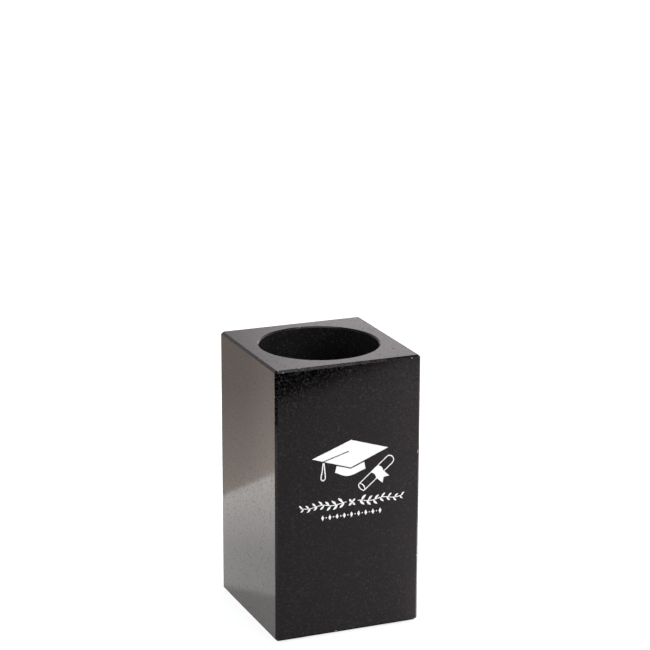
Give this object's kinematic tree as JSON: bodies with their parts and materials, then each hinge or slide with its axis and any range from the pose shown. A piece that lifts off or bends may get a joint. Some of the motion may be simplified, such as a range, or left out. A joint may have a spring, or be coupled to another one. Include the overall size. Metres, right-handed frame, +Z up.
{
  "type": "pen cup",
  "caption": "Upright square block of polished black stone with a deep round bore for pens, chamfered edges and round felt pads under its corners.",
  "frame": {"origin": "on the desk under the middle of the block, at the undersides of the felt pads", "axes": "+Z up along the bore, the decorated front looks along -Y, +X to the right as seen from the front"},
  "size_m": [0.055, 0.055, 0.101],
  "materials": {
    "black_marble": "polished",
    "white_inlay": "matte",
    "black_felt": "matte"
  },
  "bodies": {
    "root": {"stone_block": "black_marble", "felt_pad_front_left": "black_felt", "felt_pad_front_right": "black_felt", "felt_pad_back_left": "black_felt", "felt_pad_back_right": "black_felt"}
  },
  "joints": []
}
